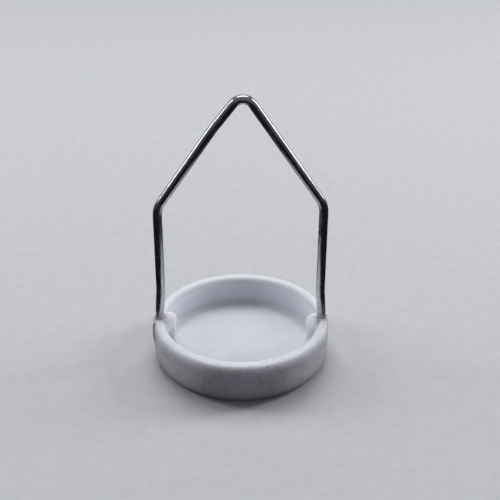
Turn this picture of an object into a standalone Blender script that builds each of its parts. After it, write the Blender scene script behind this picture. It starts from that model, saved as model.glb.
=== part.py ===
"""Hang-down sample pan for a balance: a shallow porcelain dish on a bent wire bail.

Units are metres and +Z is up. The origin is the centre of the dish's flat base, and the
bail stands in the XZ plane.
"""

import math

import bmesh
import bpy
from mathutils import Matrix, Vector

MM = 0.001
MERGE_DISTANCE = 1e-7

# Dish, turned about Z.
DISH_RADIUS = 5.0 * MM
DISH_HEIGHT = 2.5 * MM
WALL_THICKNESS = 0.8 * MM
FLOOR_THICKNESS = 0.8 * MM
BASE_ROUND = 0.63 * MM
RIM_OUTER_ROUND = 0.25 * MM
RIM_INNER_ROUND = 0.38 * MM
FLOOR_CORNER_ROUND = 0.45 * MM
TURN_STEPS = 84
ROUND_STEPS = 5

# Socket bosses: a pad inside the wall and a low rib outside it, one pair for each leg.
BOSS_REACH = 3.77 * MM
BOSS_WIDTH = 1.3 * MM
BOSS_DROP = 0.03 * MM
BOSS_ROUND = 0.2 * MM
RIB_REACH = 5.1 * MM
RIB_WIDTH = 0.92 * MM
RIB_BOTTOM = 0.6 * MM
RIB_DROP = 0.1 * MM
RIB_ROUND = 0.08 * MM
EMBED = 0.3 * MM

# Blind sockets in the bosses.
SOCKET_RADIUS = 0.30 * MM
SOCKET_BOTTOM = 1.0 * MM
SOCKET_SIDES = 24

# Bail: one bent wire, a little uneven because it is bent by hand.
WIRE_RADIUS = 0.25 * MM
LEFT_LEG_X = -4.58 * MM
RIGHT_LEG_X = 4.49 * MM
FOOT_Z = SOCKET_BOTTOM + 0.05 * MM
LEFT_KNEE_Z = 9.56 * MM
RIGHT_KNEE_Z = 9.76 * MM
BOW_CORNER = (-1.50 * MM, 14.16 * MM)
APEX_CORNER = (0.11 * MM, 16.26 * MM)
KNEE_BEND_RADIUS = 1.5 * MM
BOW_BEND_RADIUS = 8.0 * MM
APEX_BEND_RADIUS = 0.64 * MM
BEND_STEP = math.radians(7.5)

PORCELAIN_COLOUR = (0.80, 0.80, 0.83, 1.0)
WIRE_COLOUR = (0.56, 0.56, 0.57, 1.0)


def clear_scene():
    for item in list(bpy.data.objects):
        bpy.data.objects.remove(item, do_unlink=True)


def new_collection(name):
    collection = bpy.data.collections.new(name)
    bpy.context.scene.collection.children.link(collection)
    return collection


def make_material(name, colour, roughness, metallic):
    material = bpy.data.materials.new(name)
    material.use_nodes = True
    shader = material.node_tree.nodes["Principled BSDF"]
    shader.inputs["Base Color"].default_value = colour
    shader.inputs["Roughness"].default_value = roughness
    shader.inputs["Metallic"].default_value = metallic
    material.diffuse_color = colour
    return material


def add_object(name, data, collection):
    item = bpy.data.objects.new(name, data)
    collection.objects.link(item)
    return item


def mark_as_tool(item):
    item.hide_render = True
    item.display_type = "WIRE"


def arc(centre, radius, start, end):
    """Points of a circular arc in a profile plane, angles in degrees."""
    points = []
    for step in range(ROUND_STEPS + 1):
        angle = math.radians(start + (end - start) * step / ROUND_STEPS)
        points.append((centre[0] + radius * math.cos(angle), centre[1] + radius * math.sin(angle)))
    return points


def dish_profile():
    """Radius and height pairs: out along the floor, up inside, over the rim and down outside."""
    inner = DISH_RADIUS - WALL_THICKNESS
    points = [(0.0, FLOOR_THICKNESS)]
    corner = (inner - FLOOR_CORNER_ROUND, FLOOR_THICKNESS + FLOOR_CORNER_ROUND)
    points += arc(corner, FLOOR_CORNER_ROUND, -90, 0)
    inside_lip = (inner + RIM_INNER_ROUND, DISH_HEIGHT - RIM_INNER_ROUND)
    points += arc(inside_lip, RIM_INNER_ROUND, 180, 90)
    outside_lip = (DISH_RADIUS - RIM_OUTER_ROUND, DISH_HEIGHT - RIM_OUTER_ROUND)
    points += arc(outside_lip, RIM_OUTER_ROUND, 90, 0)
    base = (DISH_RADIUS - BASE_ROUND, BASE_ROUND)
    points += arc(base, BASE_ROUND, 0, -90)
    points.append((0.0, 0.0))
    return points


def profile_mesh(name, profile):
    mesh = bpy.data.meshes.new(name)
    verts = [(radius, 0.0, height) for radius, height in profile]
    edges = [(index, index + 1) for index in range(len(profile) - 1)]
    mesh.from_pydata(verts, edges, [])
    return mesh


def add_turn(item):
    turn = item.modifiers.new("turn", "SCREW")
    turn.axis = "Z"
    turn.angle = math.tau
    turn.steps = TURN_STEPS
    turn.render_steps = TURN_STEPS
    turn.use_merge_vertices = True
    turn.merge_threshold = MERGE_DISTANCE


def make_block(name, low, high, edge_round, collection):
    """A rounded block between two corners, used to add to or cut the dish."""
    mesh = bpy.data.meshes.new(name)
    shape = bmesh.new()
    bmesh.ops.create_cube(shape, size=1.0)
    size = Vector(high) - Vector(low)
    bmesh.ops.scale(shape, vec=size, verts=shape.verts)
    bmesh.ops.translate(shape, vec=(Vector(low) + Vector(high)) / 2.0, verts=shape.verts)
    shape.to_mesh(mesh)
    shape.free()
    block = add_object(name, mesh, collection)
    bevel = block.modifiers.new("edges", "BEVEL")
    bevel.width = edge_round
    bevel.segments = 3
    bevel.limit_method = "ANGLE"
    mark_as_tool(block)
    return block


def make_boss(side, collection):
    """The pad inside the wall, from inside the floor up to just under the rim."""
    reach = sorted((side * BOSS_REACH, side * (DISH_RADIUS - EMBED)))
    low = (reach[0], -BOSS_WIDTH / 2, FLOOR_THICKNESS - EMBED)
    high = (reach[1], BOSS_WIDTH / 2, DISH_HEIGHT - BOSS_DROP)
    return make_block("boss", low, high, BOSS_ROUND, collection)


def make_rib(side, collection):
    """The low swelling outside the wall, opposite the pad."""
    reach = sorted((side * (DISH_RADIUS - WALL_THICKNESS / 2), side * RIB_REACH))
    low = (reach[0], -RIB_WIDTH / 2, RIB_BOTTOM)
    high = (reach[1], RIB_WIDTH / 2, DISH_HEIGHT - RIB_DROP)
    return make_block("rib", low, high, RIB_ROUND, collection)


def make_socket_cutter(leg_x, collection):
    top = DISH_HEIGHT + EMBED
    mesh = bpy.data.meshes.new("socket")
    shape = bmesh.new()
    centre = Matrix.Translation((leg_x, 0.0, (SOCKET_BOTTOM + top) / 2))
    bmesh.ops.create_cone(
        shape,
        cap_ends=True,
        segments=SOCKET_SIDES,
        radius1=SOCKET_RADIUS,
        radius2=SOCKET_RADIUS,
        depth=top - SOCKET_BOTTOM,
        matrix=centre,
    )
    shape.to_mesh(mesh)
    shape.free()
    cutter = add_object("socket", mesh, collection)
    mark_as_tool(cutter)
    return cutter


def add_boolean(item, tool, operation):
    step = item.modifiers.new(tool.name, "BOOLEAN")
    step.operation = operation
    step.solver = "EXACT"
    step.object = tool


def shade_round(mesh, angle):
    mesh.shade_smooth()
    mesh.set_sharp_from_angle(angle=angle)


def make_dish(parts, tools):
    dish = add_object("dish", profile_mesh("dish", dish_profile()), parts)
    add_turn(dish)
    for side in (-1, 1):
        add_boolean(dish, make_boss(side, tools), "UNION")
        add_boolean(dish, make_rib(side, tools), "UNION")
    for leg_x in (LEFT_LEG_X, RIGHT_LEG_X):
        add_boolean(dish, make_socket_cutter(leg_x, tools), "DIFFERENCE")
    dish.data.materials.append(make_material("porcelain", PORCELAIN_COLOUR, 0.6, 0.0))
    return dish


def rounded_corner(before, corner, after, radius):
    """Points of the arc that rounds a corner, tangent to both of its straight sides."""
    back = (before - corner).normalized()
    ahead = (after - corner).normalized()
    turn = math.pi - back.angle(ahead)
    start = corner + back * radius * math.tan(turn / 2)
    centre = corner + (back + ahead).normalized() * radius / math.cos(turn / 2)
    steps = max(2, math.ceil(turn / BEND_STEP))
    spin = math.copysign(turn / steps, back.cross(ahead))
    arm = start - centre
    points = []
    for step in range(steps + 1):
        points.append(centre + arm @ Matrix.Rotation(spin * step, 2))
    return points


def bail_line():
    """The wire's centre line as X and Z pairs, from the left foot to the right foot."""
    corners = [
        (Vector((LEFT_LEG_X, LEFT_KNEE_Z)), KNEE_BEND_RADIUS),
        (Vector(BOW_CORNER), BOW_BEND_RADIUS),
        (Vector(APEX_CORNER), APEX_BEND_RADIUS),
        (Vector((RIGHT_LEG_X, RIGHT_KNEE_Z)), KNEE_BEND_RADIUS),
    ]
    left_foot = Vector((LEFT_LEG_X, FOOT_Z))
    right_foot = Vector((RIGHT_LEG_X, FOOT_Z))
    route = [left_foot] + [corner for corner, _ in corners] + [right_foot]
    line = [left_foot]
    for index, (corner, radius) in enumerate(corners):
        line += rounded_corner(route[index], corner, route[index + 2], radius)
    line.append(right_foot)
    return line


def make_bail(parts):
    """The wire, whose object origin lies on the axis along which it lifts out."""
    lift_axis_x = (LEFT_LEG_X + RIGHT_LEG_X) / 2
    curve = bpy.data.curves.new("bail", "CURVE")
    curve.dimensions = "3D"
    curve.bevel_depth = WIRE_RADIUS
    curve.bevel_resolution = 5
    curve.use_fill_caps = True
    line = bail_line()
    spline = curve.splines.new("POLY")
    spline.points.add(len(line) - 1)
    for point, (x, z) in zip(spline.points, line):
        point.co = (x - lift_axis_x, 0.0, z, 1.0)
    curve.materials.append(make_material("polished_wire", WIRE_COLOUR, 0.25, 1.0))
    bail = add_object("bail", curve, parts)
    bail.location = (lift_axis_x, 0.0, 0.0)
    return bail


def main():
    clear_scene()
    parts = new_collection("hang_down_pan")
    tools = new_collection("cutters")
    make_dish(parts, tools)
    make_bail(parts)


main()
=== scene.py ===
import math

import bmesh
import bpy
import numpy as np
from mathutils import Matrix, Vector


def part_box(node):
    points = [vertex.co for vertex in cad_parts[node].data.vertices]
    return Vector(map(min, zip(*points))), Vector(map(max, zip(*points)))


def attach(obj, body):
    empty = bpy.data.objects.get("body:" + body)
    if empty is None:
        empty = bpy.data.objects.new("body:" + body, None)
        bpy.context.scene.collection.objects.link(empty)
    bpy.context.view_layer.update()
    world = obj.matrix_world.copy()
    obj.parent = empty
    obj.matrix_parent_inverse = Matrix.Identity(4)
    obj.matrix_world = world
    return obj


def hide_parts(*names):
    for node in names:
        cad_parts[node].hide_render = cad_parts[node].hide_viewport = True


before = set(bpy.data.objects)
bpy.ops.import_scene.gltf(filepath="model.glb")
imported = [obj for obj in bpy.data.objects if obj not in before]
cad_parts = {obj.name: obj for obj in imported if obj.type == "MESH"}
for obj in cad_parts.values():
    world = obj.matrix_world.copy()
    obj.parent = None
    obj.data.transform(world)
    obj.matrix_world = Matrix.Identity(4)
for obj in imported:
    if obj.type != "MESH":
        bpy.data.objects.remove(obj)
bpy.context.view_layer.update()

MM = 0.001

# Frame: the two CAD nodes and where they stand, in millimetres.
DISH_LOW, DISH_HIGH = [np.array(corner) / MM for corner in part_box("dish")]
BAIL_LOW, BAIL_HIGH = [np.array(corner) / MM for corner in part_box("bail")]

# Dish, in millimetres. Its height and girth come from the frame. A rim round has two widths:
# the first across the rim and the second down the wall.
RIM_HEIGHT = DISH_HIGH[2]
OUTER_RADIUS = DISH_HIGH[1]
WALL_THICKNESS = 0.8
INNER_RADIUS = OUTER_RADIUS - WALL_THICKNESS
FLOOR_HEIGHT = 0.8
BASE_ROUND = 0.63
RIM_OUTER_ROUND = (0.20, 0.46)
RIM_INNER_ROUND = (0.29, 0.64)
FLOOR_CORNER_ROUND = 0.45

# Dish surface: relief heights and feature sizes in millimetres, and the net it is drawn with.
SWELL_RELIEF, SWELL_SIZE = 0.005, 1.6
GRAIN_RELIEF, GRAIN_SIZE = 0.0022, 0.4
NICK_RELIEF, NICK_SIZE, NICK_THRESHOLD = 0.055, 0.42, 0.55
CRUMB_SIZE = 0.2
MOUTH_CRUMBLE = 0.035
CRUST_CRUMBLE = 0.03
FLAKE_CRUMBLE = 0.012
BORE_WEAR = 0.02
NET_STEP = 0.062
NET_MARGIN = 3.5 * NET_STEP
MERGE_REACH = 0.003

# Wire and sockets, in millimetres. The feet spring out against the sockets' outer sides.
WIRE_RADIUS = 0.25
LEFT_LEG_X = BAIL_LOW[0] + WIRE_RADIUS
RIGHT_LEG_X = BAIL_HIGH[0] - WIRE_RADIUS
FOOT_Z = BAIL_LOW[2]
FOOT_SPLAY = 0.115
SPLAY_TOP = 4.6
SOCKET_RADIUS = 0.275
SOCKET_BOTTOM = FOOT_Z - 0.05
SOCKET_FORWARD = 0.01
SOCKET_LIP_ROUND = 0.02
CRUST_FILLET = 0.03
FLAKE_FILLET = 0.05


# ---------------------------------------------------------------- solids as distance fields

def smooth_step(value, low, high):
    t = np.clip((value - low) / (high - low), 0.0, 1.0)
    return t * t * (3.0 - 2.0 * t)


def round_both(a, b, a_round, b_round=None):
    """The space in both solids; the edge where they meet is rounded over these two widths."""
    b_round = a_round if b_round is None else b_round
    into_a = np.maximum(a / a_round + 1.0, 0.0)
    into_b = np.maximum(b / b_round + 1.0, 0.0)
    near = np.maximum(into_a + into_b, 1e-9)
    width = (into_a * a_round + into_b * b_round) / near
    return np.where(near > 1e-9, (np.hypot(into_a, into_b) - 1.0) * width, np.maximum(a, b))


def round_either(a, b, radius):
    """The space in either solid, with the valley where they meet filleted to a radius."""
    return -round_both(-a, -b, radius)


def rounded_box(offsets, half_sizes, radius):
    """Distance to a box in as many directions as are given, its edges rounded."""
    excess = [np.abs(offset) - half + radius for offset, half in zip(offsets, half_sizes)]
    outside = np.sqrt(sum(np.maximum(part, 0.0) ** 2 for part in excess))
    inside = np.minimum(np.maximum.reduce(excess), 0.0)
    return outside + inside - radius


def lattice_noise(x, y, z, seed):
    """Smooth value noise between -1 and 1, with features one unit across."""
    cells = [np.floor(v).astype(np.int64) for v in (x, y, z)]
    parts = [v - c for v, c in zip((x, y, z), cells)]
    blend = [p * p * p * (p * (p * 6.0 - 15.0) + 10.0) for p in parts]
    total = np.zeros_like(x)
    for corner in range(8):
        steps = [(corner >> axis) & 1 for axis in range(3)]
        weight = np.ones_like(x)
        code = np.full(x.shape, seed * 7919, dtype=np.int64)
        for cell, step, part, prime in zip(cells, steps, blend, (73856093, 19349663, 83492791)):
            weight = weight * (part if step else 1.0 - part)
            code = code ^ ((cell + step) * prime)
        code = (code * 1274126177 + 12345) & 0x7FFFFFFF
        code = ((code ^ (code >> 13)) * 60493) & 0x7FFFFFFF
        total += weight * ((code & 0xFFFF) / 32767.5 - 1.0)
    return total


def layered_noise(x, y, z, scale, seed, layers=3):
    total = np.zeros_like(x)
    for layer in range(layers):
        gain = 0.5 ** layer
        size = scale * gain
        total += gain * lattice_noise(x / size, y / size, z / size, seed + layer)
    return total


# ---------------------------------------------------------------- dish

class Boss:
    """A socket boss on one side: a pad inside the wall and a swelling on the wall's outer face."""

    PAD_FRONT = -0.85
    PAD_BACK = 0.66
    PAD_HALF_DEPTH = 0.48
    PAD_CORNER = 0.28
    PAD_BOTTOM = 0.4
    PAD_LEVEL_TO = 0.3
    SWELL_FRONT = -0.46
    SWELL_BACK = 0.75
    CRUST_RADIUS = 0.33
    FLAKE_OUT, FLAKE_BACK, FLAKE_UP = 0.31, 0.2, 0.01
    FLAKE_HALF_SIZES = (0.055, 0.24, 0.13)

    def __init__(self, side, leg_x, face_x, top_round, drop, fall, lean, swell, edge, mouth,
                 crust, widening):
        self.side = side
        self.foot_x = leg_x + side * FOOT_SPLAY
        self.face_x = face_x
        self.top_round = top_round
        self.drop = drop
        self.fall = fall
        self.lean = lean
        self.swell = swell
        self.edge = edge
        self.mouth_reach, self.mouth_half_width, self.mouth_back, self.mouth_depth = mouth
        self.crust_size = crust
        self.widening, self.widening_reach = widening

    def pad(self, x, y, z):
        """The pad, whose top is level at the back and falls away towards the front."""
        inward = x * self.side - self.face_x - self.PAD_HALF_DEPTH
        across = y - 0.5 * (self.PAD_BACK + self.PAD_FRONT)
        sizes = (self.PAD_HALF_DEPTH, 0.5 * (self.PAD_BACK - self.PAD_FRONT))
        plan = rounded_box((inward, across), sizes, self.PAD_CORNER)
        forward = np.maximum(self.PAD_LEVEL_TO - y, 0.0)
        by_wall = smooth_step(x * self.side, self.face_x + 0.1, self.face_x + 0.6)
        fall = self.fall * (1.0 - 0.55 * by_wall) * forward ** 2
        lean = self.lean * np.maximum(self.face_x + 0.45 - x * self.side, 0.0)
        crown = z - (RIM_HEIGHT - self.drop - fall - lean)
        return np.maximum(round_both(plan, crown, self.top_round), self.PAD_BOTTOM - z)

    def swelling(self, x, y, z):
        """How far the outer wall stands out: most at a front edge, fading to the back and below."""
        rise = smooth_step(y, self.SWELL_FRONT - self.edge, self.SWELL_FRONT)
        tail = 1.0 - smooth_step(y, self.SWELL_FRONT + 0.1, self.SWELL_BACK)
        up = smooth_step(z, 0.5, 1.6)
        return np.where(x * self.side > 0.0, self.swell * rise * tail * up, 0.0)

    def opening(self, x, y):
        """How much wider the inside of the wall is beside the pad."""
        wide = self.widening * np.exp(-(y / self.widening_reach) ** 2)
        return np.where(x * self.side > 0.0, wide, 0.0)

    def mouth(self, x, y, z, crumble):
        """The broken hollow around the socket's mouth."""
        out = np.sqrt(((x - self.foot_x) / self.mouth_reach) ** 2
                      + ((y - self.mouth_back) / self.mouth_half_width) ** 2
                      + ((z - RIM_HEIGHT) / self.mouth_depth) ** 2)
        return (out - 1.0) * self.mouth_depth + crumble

    def crust(self, x, y, z, crumble):
        """The crumbly ridge round the front and outer side of the socket's mouth."""
        along = (x - self.foot_x) * self.side
        across = y + SOCKET_FORWARD
        away = np.hypot(along, across)
        facing = (0.45 * along - 0.89 * across) / np.maximum(away, 0.05)
        thick = self.crust_size * smooth_step(facing, -0.5, 0.4)
        over = np.maximum(z - RIM_HEIGHT + 0.03, 0.0) * 1.2
        under = np.maximum(RIM_HEIGHT - 0.6 - z, 0.0)
        ridge = np.hypot(away - self.CRUST_RADIUS, over + under)
        return ridge - thick - crumble + 0.02

    def flake(self, x, y, z, crumble):
        """A thin flake left standing on the outer side of the mouth."""
        thick, wide, tall = self.FLAKE_HALF_SIZES
        out = np.sqrt((((x - self.foot_x) * self.side - self.FLAKE_OUT) / thick) ** 2
                      + ((y - self.FLAKE_BACK) / wide) ** 2
                      + ((z - RIM_HEIGHT - self.FLAKE_UP) / tall) ** 2)
        return (out - 1.0) * thick - crumble

    def bore(self, x, y, z, wear):
        """The socket. Wear only widens it, so that it never reaches the wire."""
        away = np.hypot(x - self.foot_x, y + SOCKET_FORWARD)
        wide = SOCKET_RADIUS + np.maximum(wear, 0.0)
        return np.maximum(away - wide, SOCKET_BOTTOM - z)


BOSSES = (
    Boss(side=-1, leg_x=LEFT_LEG_X, face_x=3.79, top_round=0.20, drop=0.0, fall=0.66, lean=0.05,
         swell=0.13, edge=0.05, mouth=(0.42, 0.28, 0.04, 0.08), crust=0.10, widening=(0.16, 2.2)),
    Boss(side=1, leg_x=RIGHT_LEG_X, face_x=3.77, top_round=0.38, drop=0.02, fall=0.56, lean=0.3,
         swell=0.025, edge=0.3, mouth=(0.36, 0.32, 0.0, 0.08), crust=0.09, widening=(0.17, 1.4)),
)


# The valley between a pad and the wall: its fillet at the top, and how much it gains below.
PAD_FILLET = 0.09
PAD_FOOT_FILLET = 0.13

# Small chips in the rim: where each starts and ends in X and Y, its radius and its depth.
CHIP_EDGE_ROUND = 0.025
RIM_CHIPS = (
    ((4.02, -1.90), (4.30, -2.03), 0.075, 0.045),
    ((-3.98, -2.41), (-3.93, -2.46), 0.060, 0.040),
    ((-4.10, -2.26), (-4.12, -2.22), 0.045, 0.030),
    ((1.72, -4.28), (1.80, -4.36), 0.055, 0.030),
    ((-2.55, 3.75), (-2.50, 3.72), 0.060, 0.035),
)


def chip(x, y, z, start, end, size, depth):
    """Distance to a short round-ended bar lying in the rim's top."""
    run = np.subtract(end, start)
    along = ((x - start[0]) * run[0] + (y - start[1]) * run[1]) / (run @ run)
    along = np.clip(along, 0.0, 1.0)
    lift = z - (RIM_HEIGHT + size - depth)
    return np.sqrt((x - start[0] - along * run[0]) ** 2
                   + (y - start[1] - along * run[1]) ** 2 + lift ** 2) - size


def dish_field(x, y, z):
    radius = np.hypot(x, y)
    girth = radius - OUTER_RADIUS - sum(boss.swelling(x, y, z) for boss in BOSSES)
    foot = round_both(girth, -z, BASE_ROUND)
    top = round_both(girth, z - RIM_HEIGHT, *RIM_OUTER_ROUND)
    inside = radius - INNER_RADIUS - sum(boss.opening(x, y) for boss in BOSSES)
    cavity = round_both(inside, FLOOR_HEIGHT - z, FLOOR_CORNER_ROUND)
    dish = round_both(-cavity, np.maximum(foot, top), *RIM_INNER_ROUND)
    fillet = PAD_FILLET + PAD_FOOT_FILLET * (1.0 - smooth_step(z, 1.0, 2.2))
    for boss in BOSSES:
        dish = round_either(dish, boss.pad(x, y, z), fillet)

    off_base = smooth_step(z, 0.02, 0.4)
    near_rim = smooth_step(z, RIM_HEIGHT - 0.7, RIM_HEIGHT)
    ripple = SWELL_RELIEF * layered_noise(x, y, z, SWELL_SIZE, 3)
    ripple = ripple + GRAIN_RELIEF * layered_noise(x, y, z, GRAIN_SIZE, 7, 2)
    dish = dish + ripple * off_base * (1.0 + 0.6 * near_rim)
    nicks = np.maximum(layered_noise(x, y, z, NICK_SIZE, 11) - NICK_THRESHOLD, 0.0)
    dish = dish + nicks * NICK_RELIEF * near_rim
    for each in RIM_CHIPS:
        dish = round_both(dish, -chip(x, y, z, *each), CHIP_EDGE_ROUND)

    rough = layered_noise(x, y, z, CRUMB_SIZE, 21)
    for boss in BOSSES:
        dish = np.maximum(dish, -boss.mouth(x, y, z, MOUTH_CRUMBLE * rough))
        dish = round_either(dish, boss.crust(x, y, z, CRUST_CRUMBLE * rough), CRUST_FILLET)
        dish = round_either(dish, boss.flake(x, y, z, FLAKE_CRUMBLE * rough), FLAKE_FILLET)
        bore = boss.bore(x, y, z, BORE_WEAR * rough * near_rim)
        dish = round_both(dish, -bore, SOCKET_LIP_ROUND)
    return dish


# ---------------------------------------------------------------- surface net

def crossings(values, axis):
    """Where the field changes sign along one axis: a mask, and how far along each grid edge."""
    low = [slice(None)] * 3
    high = [slice(None)] * 3
    low[axis] = slice(None, -1)
    high[axis] = slice(1, None)
    a, b = values[tuple(low)], values[tuple(high)]
    crossed = (a < 0.0) != (b < 0.0)
    part = np.where(crossed, a / np.where(crossed, a - b, 1.0), 0.0)
    return crossed, part, a < 0.0


def surface_net(values):
    """Vertices in grid units, and quads facing out, of the surface where the field is zero."""
    cells = tuple(size - 1 for size in values.shape)
    total = np.zeros(cells + (3,))
    count = np.zeros(cells)
    edges = []
    for axis in range(3):
        crossed, part, starts_inside = crossings(values, axis)
        edges.append((crossed, starts_inside))
        where = np.stack(np.indices(crossed.shape), axis=-1).astype(float)
        where[..., axis] += part
        where *= crossed[..., None]
        others = [other for other in range(3) if other != axis]
        for corner in range(4):
            window = [slice(None)] * 3
            for bit, other in enumerate(others):
                start = (corner >> bit) & 1
                window[other] = slice(start, start + cells[other])
            total += where[tuple(window)]
            count += crossed[tuple(window)]
    used = count > 0
    number = np.full(cells, -1)
    number[used] = np.arange(int(used.sum()))
    verts = total[used] / count[used][:, None]
    return verts, np.concatenate([net_quads(axis, edges[axis], number) for axis in range(3)])


def net_quads(axis, edge, number):
    crossed, starts_inside = edge
    first, second = [other for other in range(3) if other != axis]
    spots = np.argwhere(crossed)
    start_in = starts_inside[crossed]
    corners = []
    for back_first, back_second in ((1, 1), (0, 1), (0, 0), (1, 0)):
        cell = spots.copy()
        cell[:, first] -= back_first
        cell[:, second] -= back_second
        corners.append(number[cell[:, 0], cell[:, 1], cell[:, 2]])
    quads = np.stack(corners, axis=1)
    turned = start_in if axis != 1 else ~start_in
    quads[~turned] = quads[~turned][:, ::-1]
    return quads


def settle(field, points, rounds=4, reach=0.002):
    """Moves points along the field's slope until they lie on its zero surface."""
    for _ in range(rounds):
        value = field(*points.T)
        slope = np.empty_like(points)
        for axis in range(3):
            step = np.zeros(3)
            step[axis] = reach
            slope[:, axis] = field(*(points + step).T) - field(*(points - step).T)
        slope /= 2.0 * reach
        steep = np.maximum((slope ** 2).sum(axis=1), 0.1)
        points = points - slope * (value / steep)[:, None]
    return points


def mesh_object(name, points_mm, faces):
    mesh = bpy.data.meshes.new(name)
    mesh.from_pydata((np.asarray(points_mm) * MM).tolist(), [], [list(face) for face in faces])
    mesh.validate()
    mesh.shade_smooth()
    item = bpy.data.objects.new(name, mesh)
    bpy.context.scene.collection.objects.link(item)
    return item


def make_dish():
    """The dish as one closed mesh, without doubled points or edges shared by four faces."""
    low = DISH_LOW - NET_MARGIN
    high = DISH_HIGH + NET_MARGIN
    axes = [np.arange(a, b + NET_STEP, NET_STEP) for a, b in zip(low, high)]
    grid = np.meshgrid(*axes, indexing="ij")
    verts, quads = surface_net(dish_field(*grid))
    points = low + verts * NET_STEP
    points = settle(dish_field, points)
    dish = mesh_object("porcelain_dish", points, quads)
    shape = bmesh.new()
    shape.from_mesh(dish.data)
    bmesh.ops.remove_doubles(shape, verts=shape.verts, dist=MERGE_REACH * MM)
    pinched = [edge for edge in shape.edges if len(edge.link_faces) > 2]
    bmesh.ops.collapse(shape, edges=pinched)
    shape.to_mesh(dish.data)
    shape.free()
    return dish


# ---------------------------------------------------------------- bail

KNEE_Z = {"left": 9.56, "right": 9.76}
BOW_CORNER = Vector((-1.50, 14.16))
APEX_CORNER = Vector((0.11, 16.26))
KNEE_BEND_RADIUS = 1.5
BOW_BEND_RADIUS = 8.0
APEX_BEND_RADIUS = 0.64
BEND_STEPS = 24
WIRE_SIDES = 28
WIRE_SPACING = 0.11
BEND_FLATTENING = 0.035
FULL_BEND = 1.5
END_TAPER = 0.14
END_RINGS = 4
SIDE_WANDER = 0.006
WANDER_TURN, WANDER_START = 0.9, 0.4


def bend_points(before, corner, after, radius, steps):
    """Points on the arc that rounds a corner of the wire."""
    back = (before - corner).normalized()
    ahead = (after - corner).normalized()
    turn = math.pi - back.angle(ahead)
    start = corner + back * radius * math.tan(turn / 2)
    centre = corner + (back + ahead).normalized() * radius / math.cos(turn / 2)
    spin = math.copysign(turn, back.cross(ahead))
    arm = start - centre
    return [centre + arm @ Matrix.Rotation(spin * step / steps, 2) for step in range(steps + 1)]


def wire_route():
    """The wire's centre line in X and Z, from the left foot to the right foot."""
    left_foot = Vector((LEFT_LEG_X, FOOT_Z))
    right_foot = Vector((RIGHT_LEG_X, FOOT_Z))
    left_knee = Vector((LEFT_LEG_X, KNEE_Z["left"]))
    right_knee = Vector((RIGHT_LEG_X, KNEE_Z["right"]))
    route = [left_foot, left_knee, BOW_CORNER, APEX_CORNER, right_knee, right_foot]
    radii = [KNEE_BEND_RADIUS, BOW_BEND_RADIUS, APEX_BEND_RADIUS, KNEE_BEND_RADIUS]
    line = [left_foot]
    for index, radius in enumerate(radii):
        line += bend_points(*route[index:index + 3], radius, BEND_STEPS)
    line.append(right_foot)
    return np.array([tuple(point) for point in line])


def splay_feet(route):
    """Bends the lower ends of the legs outward a little."""
    below = 1.0 - smooth_step(route[:, 1], RIM_HEIGHT, SPLAY_TOP)
    route[:, 0] += np.sign(route[:, 0]) * FOOT_SPLAY * below
    return route


def even_route(line, spacing):
    """The same route with points at even spacing, and how far along it each one is."""
    lengths = np.hypot(*np.diff(line, axis=0).T)
    along = np.concatenate([[0.0], np.cumsum(lengths)])
    stops = np.linspace(0.0, along[-1], int(round(along[-1] / spacing)) + 1)
    return np.stack([np.interp(stops, along, line[:, axis]) for axis in range(2)], axis=1), stops


def make_bail():
    """The wire as one closed tube; "wrap" holds each point's place round and along the wire."""
    route, stops = even_route(wire_route(), WIRE_SPACING)
    route = splay_feet(route)
    run = np.gradient(route, axis=0)
    run /= np.hypot(*run.T)[:, None]
    heading = np.unwrap(np.arctan2(run[:, 1], run[:, 0]))
    bend = np.abs(np.gradient(heading, stops))
    rings = []
    wrap = []
    for index, (x, z) in enumerate(route):
        flat = BEND_FLATTENING * min(bend[index], FULL_BEND) / FULL_BEND
        from_end = min(index, len(route) - 1 - index)
        taper = 1.0 - END_TAPER * max(0.0, 1.0 - from_end / END_RINGS) ** 2
        side_step = SIDE_WANDER * math.sin(stops[index] * WANDER_TURN + WANDER_START)
        ring = []
        for side in range(WIRE_SIDES):
            angle = math.tau * side / WIRE_SIDES
            out = WIRE_RADIUS * taper * (1.0 - flat) * math.cos(angle)
            depth = WIRE_RADIUS * taper * (1.0 + flat) * math.sin(angle)
            ring.append((x - run[index, 1] * out, depth + side_step, z + run[index, 0] * out))
            wrap.append((math.cos(angle), math.sin(angle), stops[index]))
        rings.append(ring)
    points = [point for ring in rings for point in ring]
    faces = []
    for row in range(len(rings) - 1):
        for side in range(WIRE_SIDES):
            after = (side + 1) % WIRE_SIDES
            low, high = row * WIRE_SIDES, (row + 1) * WIRE_SIDES
            faces.append((low + side, high + side, high + after, low + after))
    faces.append(tuple(range(WIRE_SIDES)))
    last = (len(rings) - 1) * WIRE_SIDES
    faces.append(tuple(last + side for side in reversed(range(WIRE_SIDES))))
    bail = mesh_object("wire_bail", points, faces)
    around = bail.data.attributes.new("wrap", "FLOAT_VECTOR", "POINT")
    around.data.foreach_set("vector", np.array(wrap, dtype=np.float32).ravel())
    return bail


# ---------------------------------------------------------------- materials

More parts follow.
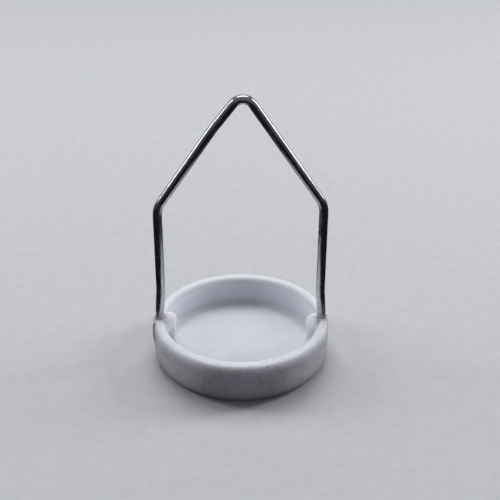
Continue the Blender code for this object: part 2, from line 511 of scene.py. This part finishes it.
class Graph:
    """A small helper for building one material's node tree."""

    def __init__(self, name):
        self.material = bpy.data.materials.new(name)
        self.material.use_nodes = True
        self.nodes = self.material.node_tree.nodes
        self.links = self.material.node_tree.links
        self.shader = self.nodes["Principled BSDF"]

    def feed(self, socket, value):
        if isinstance(value, bpy.types.NodeSocket):
            self.links.new(value, socket)
        else:
            socket.default_value = value

    def object_mm(self):
        """Object coordinates in millimetres."""
        place = self.nodes.new("ShaderNodeTexCoord").outputs["Object"]
        return self.vector("SCALE", place, scale=1000.0)

    def vector(self, operation, first, second=None, scale=None):
        node = self.nodes.new("ShaderNodeVectorMath")
        node.operation = operation
        self.feed(node.inputs[0], first)
        if second is not None:
            self.feed(node.inputs[1], second)
        if scale is not None:
            self.feed(node.inputs["Scale"], scale)
        return node.outputs["Value" if operation == "LENGTH" else "Vector"]

    def math(self, operation, first, second=0.0):
        node = self.nodes.new("ShaderNodeMath")
        node.operation = operation
        self.feed(node.inputs[0], first)
        self.feed(node.inputs[1], second)
        return node.outputs["Value"]

    def split(self, vector):
        node = self.nodes.new("ShaderNodeSeparateXYZ")
        self.feed(node.inputs["Vector"], vector)
        return node.outputs["X"], node.outputs["Y"], node.outputs["Z"]

    def noise(self, vector, scale, detail=3.0, roughness=0.55, distortion=0.0):
        node = self.nodes.new("ShaderNodeTexNoise")
        self.feed(node.inputs["Vector"], vector)
        node.inputs["Scale"].default_value = scale
        node.inputs["Detail"].default_value = detail
        node.inputs["Roughness"].default_value = roughness
        node.inputs["Distortion"].default_value = distortion
        return node.outputs["Fac"]

    def spots(self, vector, scale, radius, share):
        """Round specks: a share of the cells holds one, softly edged, of about this radius."""
        cell = self.nodes.new("ShaderNodeTexVoronoi")
        self.feed(cell.inputs["Vector"], vector)
        cell.inputs["Scale"].default_value = scale
        size = self.nodes.new("ShaderNodeSeparateColor")
        self.links.new(cell.outputs["Color"], size.inputs["Color"])
        edge = self.math("MULTIPLY", size.outputs["Green"], radius * scale)
        inside = self.math("SUBTRACT", edge, cell.outputs["Distance"])
        soft = self.span(inside, -0.2 * radius * scale, 0.3 * radius * scale)
        return self.math("MULTIPLY", soft, self.math("LESS_THAN", size.outputs["Red"], share))

    def span(self, value, low, high, out_low=0.0, out_high=1.0):
        node = self.nodes.new("ShaderNodeMapRange")
        node.interpolation_type = "SMOOTHSTEP"
        self.feed(node.inputs["Value"], value)
        node.inputs["From Min"].default_value = low
        node.inputs["From Max"].default_value = high
        node.inputs["To Min"].default_value = out_low
        node.inputs["To Max"].default_value = out_high
        return node.outputs["Result"]

    def mix(self, amount, first, second, blend="MIX"):
        node = self.nodes.new("ShaderNodeMix")
        node.data_type = "RGBA"
        node.blend_type = blend
        self.feed(node.inputs["Factor"], amount)
        self.feed(node.inputs["A"], first)
        self.feed(node.inputs["B"], second)
        return node.outputs["Result"]

    def bump(self, height, distance, strength, under=None):
        node = self.nodes.new("ShaderNodeBump")
        node.inputs["Strength"].default_value = strength
        node.inputs["Distance"].default_value = distance
        self.feed(node.inputs["Height"], height)
        if under is not None:
            self.feed(node.inputs["Normal"], under)
        return node.outputs["Normal"]


def porcelain():
    """Matt white unglazed porcelain, faintly clouded, speckled and stained by use, with painted
    shade low on the walls, in the floor's corner, on the pads and at the rim's inner edge.
    """
    graph = Graph("porcelain")
    place = graph.object_mm()
    x, y, z = graph.split(place)
    girth = graph.vector("LENGTH", graph.vector("MULTIPLY", place, (1.0, 1.0, 0.0)))

    cloud = graph.span(graph.noise(place, 0.5, 3.0), 0.32, 0.68)
    colour = graph.mix(cloud, (0.655, 0.668, 0.73, 1.0), (0.695, 0.706, 0.766, 1.0))
    mottle = graph.span(graph.noise(place, 5.0, 3.0, 0.6), 0.35, 0.68, 0.0, 0.14)
    colour = graph.mix(mottle, colour, (0.46, 0.465, 0.52, 1.0))

    stain = graph.span(graph.noise(place, 1.6, 5.0, 0.68, 0.3), 0.50, 0.68)
    wall = graph.span(girth, 4.62, 4.95)
    worn = graph.math("MULTIPLY", stain, graph.math("MULTIPLY", wall, 0.40))
    colour = graph.mix(worn, colour, (0.36, 0.35, 0.37, 1.0))

    top = graph.span(z, RIM_HEIGHT - 0.4, RIM_HEIGHT - 0.1)
    near_pad = graph.span(graph.math("ABSOLUTE", y), 0.75, 1.0, 1.0, 0.0)
    pad = graph.math("MULTIPLY", near_pad, graph.span(girth, 4.15, 4.35, 1.0, 0.0))
    # Painted shade: the rim's inner rounding is darkened, less beside the pads; the noise added to
    # it on the rim's top is wear.
    inner_edge_shade = graph.span(girth, 4.40, 4.60, 0.34, 0.02)
    inner_edge_shade = graph.math("MULTIPLY", inner_edge_shade, graph.span(pad, 0.0, 1.0, 1.0, 0.45))
    rubbed_and_edge_shade = graph.span(graph.noise(place, 2.6, 4.0, 0.65), 0.3, 0.72, 0.0, 0.08)
    rubbed_and_edge_shade = graph.math("ADD", rubbed_and_edge_shade, inner_edge_shade)
    colour = graph.mix(graph.math("MULTIPLY", top, rubbed_and_edge_shade), colour, (0.42, 0.42, 0.46, 1.0))

    # Painted shade: the floor's corner at the foot of the inner wall is darkened.
    near_foot = graph.span(z, FLOOR_HEIGHT + 0.05, FLOOR_HEIGHT + 0.75, 1.0, 0.0)
    corner = graph.math("MULTIPLY", graph.span(girth, 3.75, 4.15), near_foot)
    corner = graph.math("MULTIPLY", corner, graph.span(girth, 4.3, 4.5, 0.16, 0.0))
    colour = graph.mix(corner, colour, (0.34, 0.34, 0.38, 1.0))
    # Painted shade: the pads' inner faces are darkened in a band part way up.
    pad_side_shade = graph.math("MULTIPLY", graph.span(z, 0.95, 1.25), graph.span(z, 1.9, 2.3, 0.48, 0.0))
    colour = graph.mix(graph.math("MULTIPLY", pad, pad_side_shade), colour, (0.42, 0.42, 0.455, 1.0))
    # Painted shade: the colour darkens towards the foot, most on the outer wall and less on the
    # inner floor.
    under = graph.span(z, 0.0, 1.2, 0.82, 0.0)
    under = graph.math("MULTIPLY", under, graph.span(girth, 4.1, 4.4, 0.45, 1.0))
    colour = graph.mix(under, colour, (0.27, 0.27, 0.297, 1.0))

    outside = graph.span(girth, 4.25, 4.65, 0.25, 1.0)
    small = graph.math("MULTIPLY", graph.spots(place, 3.0, 0.06, 0.36), 0.44)
    small = graph.math("MULTIPLY", small, outside)
    colour = graph.mix(small, colour, (0.20, 0.19, 0.20, 1.0))
    large = graph.math("MULTIPLY", graph.spots(place, 1.2, 0.12, 0.40), 0.28)
    large = graph.math("MULTIPLY", large, outside)
    colour = graph.mix(large, colour, (0.28, 0.27, 0.30, 1.0))

    colour = graph.mix(socket_grime_and_rib_shade(graph, place, x, y, z), colour, (0.20, 0.195, 0.215, 1.0))
    graph.feed(graph.shader.inputs["Base Color"], colour)

    grain = graph.noise(place, 14.0, 4.0, 0.6)
    swell = graph.noise(place, 1.6, 2.0)
    normal = graph.bump(swell, 0.00012, 0.16)
    normal = graph.bump(grain, 0.00002, 0.30, normal)
    graph.feed(graph.shader.inputs["Normal"], normal)
    sheen = graph.span(graph.noise(place, 3.0, 3.0), 0.3, 0.7, 0.52, 0.74)
    graph.feed(graph.shader.inputs["Roughness"], sheen)
    graph.shader.inputs["Subsurface Weight"].default_value = 0.9
    graph.shader.inputs["Subsurface Radius"].default_value = (1.0, 0.95, 0.9)
    graph.shader.inputs["Subsurface Scale"].default_value = 0.0008
    return graph.material


def socket_grime_and_rib_shade(graph, place, x, y, z):
    """Grey residue, in flecks, round the sockets' mouths, and painted shade along the left rib's
    front face.
    """
    outward = graph.math("SUBTRACT", graph.math("ABSOLUTE", x), 4.60)
    across = graph.math("ADD", y, 0.05)
    away = graph.math("SQRT", graph.math("ADD", graph.math("MULTIPLY", outward, outward),
                                         graph.math("MULTIPLY", across, across)))
    ragged = graph.math("ADD", away, graph.span(graph.noise(place, 4.0, 3.0), 0.3, 0.7, -0.2, 0.2))
    ring = graph.span(ragged, 0.24, 0.66, 1.0, 0.0)
    flecks = graph.span(graph.noise(place, 7.5, 4.0, 0.65), 0.44, 0.62, 0.12, 1.0)
    height = graph.span(z, RIM_HEIGHT - 0.45, RIM_HEIGHT - 0.15, 0.0, 0.42)
    residue = graph.math("MULTIPLY", graph.math("MULTIPLY", ring, flecks), height)
    # Painted shade: a dark line on the left rib's front face, which faces away from the light.
    behind = graph.span(y, -0.46, -0.40, 1.0, 0.0)
    rib_front_shade = graph.math("MULTIPLY", graph.span(y, -0.58, -0.50), behind)
    rib_front_shade = graph.math("MULTIPLY", rib_front_shade, graph.span(x, -5.02, -4.95, 0.55, 0.0))
    rib_front_shade = graph.math("MULTIPLY", rib_front_shade, graph.span(x, -5.11, -5.06, 0.2, 1.0))
    return graph.math("MAXIMUM", residue, rib_front_shade)


def polished_wire():
    """Drawn wire, polished, with fine lengthwise streaks and dull, dusty feet."""
    graph = Graph("polished_wire")
    place = graph.object_mm()
    z = graph.split(place)[2]
    around = graph.nodes.new("ShaderNodeAttribute")
    around.attribute_name = "wrap"
    drawn = graph.vector("MULTIPLY", around.outputs["Vector"], (3.2, 3.2, 0.42))
    streak = graph.noise(drawn, 1.6, 4.0, 0.65)
    cloud = graph.noise(place, 1.3, 3.0)
    pits = graph.noise(place, 11.0, 3.0, 0.6)

    colour = graph.mix(graph.span(streak, 0.34, 0.66), (0.46, 0.46, 0.475, 1.0),
                       (0.66, 0.66, 0.67, 1.0))
    colour = graph.mix(graph.span(pits, 0.60, 0.72, 0.0, 0.35), colour, (0.16, 0.155, 0.16, 1.0))
    gloss = graph.span(graph.math("ADD", graph.math("MULTIPLY", streak, 0.6),
                                  graph.math("MULTIPLY", cloud, 0.4)), 0.36, 0.64, 0.13, 0.33)

    low = graph.span(z, RIM_HEIGHT + 0.05, RIM_HEIGHT + 1.5, 1.0, 0.0)
    dull = graph.span(graph.noise(place, 4.5, 4.0, 0.65), 0.40, 0.62)
    dust = graph.math("MULTIPLY", low, dull)
    foot = graph.span(z, RIM_HEIGHT + 0.12, RIM_HEIGHT + 0.55, 0.9, 0.0)
    mottle = graph.span(graph.noise(place, 6.0, 3.0, 0.6), 0.36, 0.56, 0.35, 1.0)
    dust = graph.math("MAXIMUM", dust, graph.math("MULTIPLY", foot, mottle))
    colour = graph.mix(graph.math("MULTIPLY", dust, 0.75), colour, (0.42, 0.42, 0.44, 1.0))
    gloss = graph.math("ADD", gloss, graph.math("MULTIPLY", dust, 0.30))
    graph.feed(graph.shader.inputs["Base Color"], colour)
    graph.feed(graph.shader.inputs["Roughness"], gloss)
    bare = graph.math("SUBTRACT", 1.0, graph.math("MULTIPLY", dust, 0.65))
    graph.feed(graph.shader.inputs["Metallic"], bare)
    normal = graph.bump(streak, 0.000008, 0.35)
    normal = graph.bump(pits, 0.000008, 0.25, normal)
    graph.feed(graph.shader.inputs["Normal"], normal)
    return graph.material


def studio_paper():
    """Pale paper with a faint tooth, which glows faintly far from the object: painted light."""
    graph = Graph("studio_paper")
    place = graph.object_mm()
    tooth = graph.noise(place, 1.4, 4.0, 0.6)
    tone = graph.span(tooth, 0.3, 0.7)
    colour = graph.mix(tone, (0.485, 0.495, 0.515, 1.0), (0.515, 0.525, 0.545, 1.0))
    graph.feed(graph.shader.inputs["Base Color"], colour)
    graph.feed(graph.shader.inputs["Normal"], graph.bump(tooth, 0.00005, 0.15))
    # Painted light: the paper emits a faint glow that grows with distance from the object.
    far_glow = graph.span(graph.vector("LENGTH", place), 80.0, 320.0, 0.0, 0.42)
    graph.shader.inputs["Emission Color"].default_value = (0.96, 0.98, 1.0, 1.0)
    graph.feed(graph.shader.inputs["Emission Strength"], far_glow)
    graph.shader.inputs["Roughness"].default_value = 0.9
    return graph.material


# ---------------------------------------------------------------- studio

STAGE_FLAT = 0.35
STAGE_CURVE = 0.25
STAGE_TOP = 0.45
STAGE_TURNS = 96
LIGHT_TARGET = Vector((0.0, 0.0, 0.004))
GLINT_NEARER = 0.96


def make_stage():
    """A round sheet of pale paper: flat under the object, curving up well away from it."""
    profile = [(0.0, 0.0)]
    profile += [(STAGE_FLAT * step / 8, 0.0) for step in range(1, 9)]
    for step in range(1, 17):
        angle = math.pi / 2 * step / 16
        out = STAGE_FLAT + STAGE_CURVE * math.sin(angle)
        profile.append((out, STAGE_CURVE * (1.0 - math.cos(angle))))
    profile.append((STAGE_FLAT + STAGE_CURVE, STAGE_TOP))
    mesh = bpy.data.meshes.new("studio_floor")
    points = [(0.0, 0.0, 0.0)]
    for out, up in profile[1:]:
        for turn in range(STAGE_TURNS):
            angle = math.tau * turn / STAGE_TURNS
            points.append((out * math.cos(angle), out * math.sin(angle), up))
    faces = []
    for turn in range(STAGE_TURNS):
        after = (turn + 1) % STAGE_TURNS
        faces.append((0, 1 + turn, 1 + after))
        for row in range(len(profile) - 2):
            low, high = 1 + row * STAGE_TURNS, 1 + (row + 1) * STAGE_TURNS
            faces.append((low + turn, high + turn, high + after, low + after))
    mesh.from_pydata(points, [], faces)
    mesh.shade_smooth()
    floor = bpy.data.objects.new("studio_floor", mesh)
    floor.data.materials.append(studio_paper())
    bpy.context.scene.collection.objects.link(floor)
    floor.visible_glossy = False
    floor.visible_diffuse = False


def soft_light(name, place, size, watts, glint_share):
    """A soft lamp aimed at the object; only a share of its light shows as glints in the wire."""
    lamp(name, Vector(place), size, watts * (1.0 - glint_share), False)
    if glint_share:
        lamp(name + "_glint", Vector(place) * GLINT_NEARER, size, watts * glint_share, True)


def lamp(name, place, size, watts, glints):
    data = bpy.data.lights.new(name, "AREA")
    data.shape = "RECTANGLE"
    data.size, data.size_y = size
    data.energy = watts
    item = bpy.data.objects.new(name, data)
    item.location = place
    item.rotation_euler = (LIGHT_TARGET - place).to_track_quat("-Z", "Y").to_euler()
    item.visible_camera = False
    item.visible_glossy = glints
    bpy.context.scene.collection.objects.link(item)


def make_lights():
    soft_light("top_soft", (-0.005, 0.068, 0.146), (0.12, 0.10), 0.169, 0.48)
    soft_light("front_fill", (0.07, -0.20, 0.12), (0.15, 0.10), 0.041, 0.0)
    soft_light("left_strip", (-0.14, 0.04, 0.07), (0.03, 0.10), 0.096, 0.60)
    soft_light("right_strip", (0.14, 0.05, 0.07), (0.03, 0.10), 0.128, 0.64)
    bpy.context.scene.world = studio_world()


def studio_world():
    """Dim light all round, brighter overhead than below."""
    world = bpy.data.worlds.new("studio")
    world.use_nodes = True
    nodes = world.node_tree.nodes
    links = world.node_tree.links
    split = nodes.new("ShaderNodeSeparateXYZ")
    links.new(nodes.new("ShaderNodeTexCoord").outputs["Generated"], split.inputs["Vector"])
    fade = nodes.new("ShaderNodeValToRGB")
    fade.color_ramp.elements[0].position = 0.42
    fade.color_ramp.elements[0].color = (0.010, 0.010, 0.011, 1.0)
    fade.color_ramp.elements[1].position = 0.62
    fade.color_ramp.elements[1].color = (0.15, 0.154, 0.165, 1.0)
    lift = nodes.new("ShaderNodeMapRange")
    lift.inputs["From Min"].default_value = -1.0
    links.new(split.outputs["Z"], lift.inputs["Value"])
    links.new(lift.outputs["Result"], fade.inputs["Fac"])
    links.new(fade.outputs["Color"], nodes["Background"].inputs["Color"])
    return world


CAMERA_PLACE = Vector((-0.00002, -0.04839, 0.03427))
CAMERA_PITCH = math.radians(29.45)
CAMERA_YAW = math.radians(0.59)
CAMERA_ROLL = math.radians(0.25)


def make_camera():
    data = bpy.data.cameras.new("view")
    data.sensor_width = 36.0
    data.lens = 72.0
    data.clip_start = 0.001
    data.clip_end = 10.0
    camera = bpy.data.objects.new("view", data)
    turn = Matrix.Rotation(-CAMERA_YAW, 4, "Z")
    tilt = Matrix.Rotation(math.pi / 2 - CAMERA_PITCH, 4, "X")
    roll = Matrix.Rotation(CAMERA_ROLL, 4, "Z")
    camera.matrix_world = Matrix.Translation(CAMERA_PLACE) @ turn @ tilt @ roll
    bpy.context.scene.collection.objects.link(camera)
    bpy.context.scene.camera = camera


# ---------------------------------------------------------------- put together

def main():
    make_camera()
    make_stage()
    make_lights()
    bpy.context.scene.view_settings.view_transform = "Standard"

    dish = make_dish()
    dish.data.materials.append(porcelain())
    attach(dish, "dish")
    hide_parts("dish")

    bail = make_bail()
    bail.data.materials.append(polished_wire())
    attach(bail, "bail")
    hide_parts("bail")


main()
